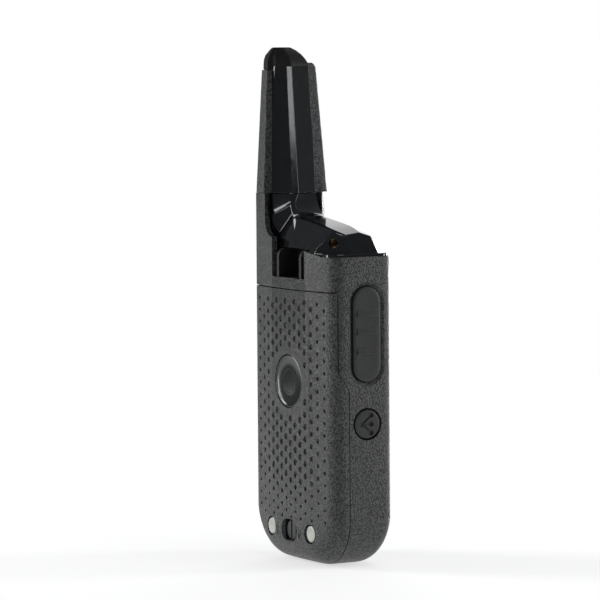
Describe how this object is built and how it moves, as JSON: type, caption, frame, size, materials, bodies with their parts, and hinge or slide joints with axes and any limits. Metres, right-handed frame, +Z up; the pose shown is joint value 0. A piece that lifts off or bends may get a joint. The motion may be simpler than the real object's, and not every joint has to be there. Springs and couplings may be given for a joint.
{
  "type": "portable two-way radio",
  "caption": "Handheld two-way radio with a fixed tapered antenna, side talk button, belt-clip slot, front keys and a hinged, locked battery door.",
  "frame": {"origin": "centre of the flat base that the radio stands on, in the antenna plane", "axes": "+Z up along the body to the antenna, -Y out of the speaker side, +Y out of the battery door, -X out of the talk button"},
  "size_m": [0.0581, 0.0272, 0.1815],
  "materials": {
    "grained_plastic": "spark-eroded charcoal grain",
    "gloss_plastic": "high gloss",
    "button_rubber": "satin",
    "inner_black": "satin moulded",
    "chassis_plastic": "moulded",
    "steel": "satin",
    "contact_silver": "satin plated",
    "brass": "machined",
    "copper": "enamelled wire",
    "board": "solder mask",
    "cloth": "acoustic cloth",
    "wrap": "shrink wrap",
    "window": "clear gloss",
    "display": "reflective LCD",
    "badge": "satin",
    "lens": "frosted"
  },
  "bodies": {
    "housing": {"front_housing": "grained_plastic", "rear_housing": "grained_plastic", "top_cover": "gloss_plastic", "clip_guide": "inner_black", "chassis": "chassis_plastic", "main_board": "board", "rf_shield": "steel", "display_module": "display", "display_window": "window", "speaker": "steel", "speaker_cloth": "cloth", "microphone": "steel", "status_led": "lens", "battery_pack": "wrap", "battery_contacts": "brass", "charge_contacts": "contact_silver", "housing_screws": "steel", "ptt_switch": "inner_black", "pair_switch": "inner_black", "accessory_jack": "brass", "usb_socket": "steel", "antenna_bush": "brass", "antenna_coil": "copper", "antenna_spine": "gloss_plastic", "antenna_rear_shell": "grained_plastic", "antenna_front_shell": "grained_plastic"},
    "ptt": {"ptt_button": "button_rubber"},
    "pairing": {"pair_button": "button_rubber"},
    "menu": {"key_menu": "button_rubber"},
    "up": {"key_up": "button_rubber"},
    "down": {"key_down": "button_rubber"},
    "call": {"key_call": "button_rubber"},
    "power": {"key_power": "button_rubber"},
    "door": {"battery_door": "grained_plastic", "badge_disc": "badge"},
    "lock": {"door_lock": "inner_black", "lock_cam": "steel"},
    "port_flap": {"port_cover": "button_rubber"}
  },
  "joints": [
    {"name": "ptt_press", "type": "slide", "parent": "housing", "child": "ptt", "axis": [1, 0, 0], "range_m": [0, 0.0008], "stiffness_N_per_m": 1500, "springref_m": -0.0005},
    {"name": "pair_press", "type": "slide", "parent": "housing", "child": "pairing", "axis": [1, 0, 0], "range_m": [0, 0.0006], "stiffness_N_per_m": 1500, "springref_m": -0.0005},
    {"name": "menu_press", "type": "slide", "parent": "housing", "child": "menu", "axis": [0, 1, 0], "range_m": [0, 0.0005], "stiffness_N_per_m": 1500, "springref_m": -0.0005},
    {"name": "up_press", "type": "slide", "parent": "housing", "child": "up", "axis": [0, 1, 0], "range_m": [0, 0.0005], "stiffness_N_per_m": 1500, "springref_m": -0.0005},
    {"name": "down_press", "type": "slide", "parent": "housing", "child": "down", "axis": [0, 1, 0], "range_m": [0, 0.0005], "stiffness_N_per_m": 1500, "springref_m": -0.0005},
    {"name": "call_press", "type": "slide", "parent": "housing", "child": "call", "axis": [0, 1, 0], "range_m": [0, 0.0005], "stiffness_N_per_m": 1500, "springref_m": -0.0005},
    {"name": "power_press", "type": "slide", "parent": "housing", "child": "power", "axis": [0, 1, 0], "range_m": [0, 0.0005], "stiffness_N_per_m": 1500, "springref_m": -0.0005},
    {"name": "door_open", "type": "hinge", "parent": "housing", "child": "door", "pos_m": [0, 0.0126, 0.0965], "axis": [1, 0, 0], "range_deg": [0, 35]},
    {"name": "lock_turn", "type": "hinge", "parent": "door", "child": "lock", "pos_m": [0, 0.008, 0.0113], "axis": [0, 1, 0], "range_deg": [0, 90]},
    {"name": "port_flap_open", "type": "hinge", "parent": "housing", "child": "port_flap", "pos_m": [0.0287, -0.00645, 0.082], "axis": [0, 0, -1], "range_deg": [0, 100]}
  ]
}
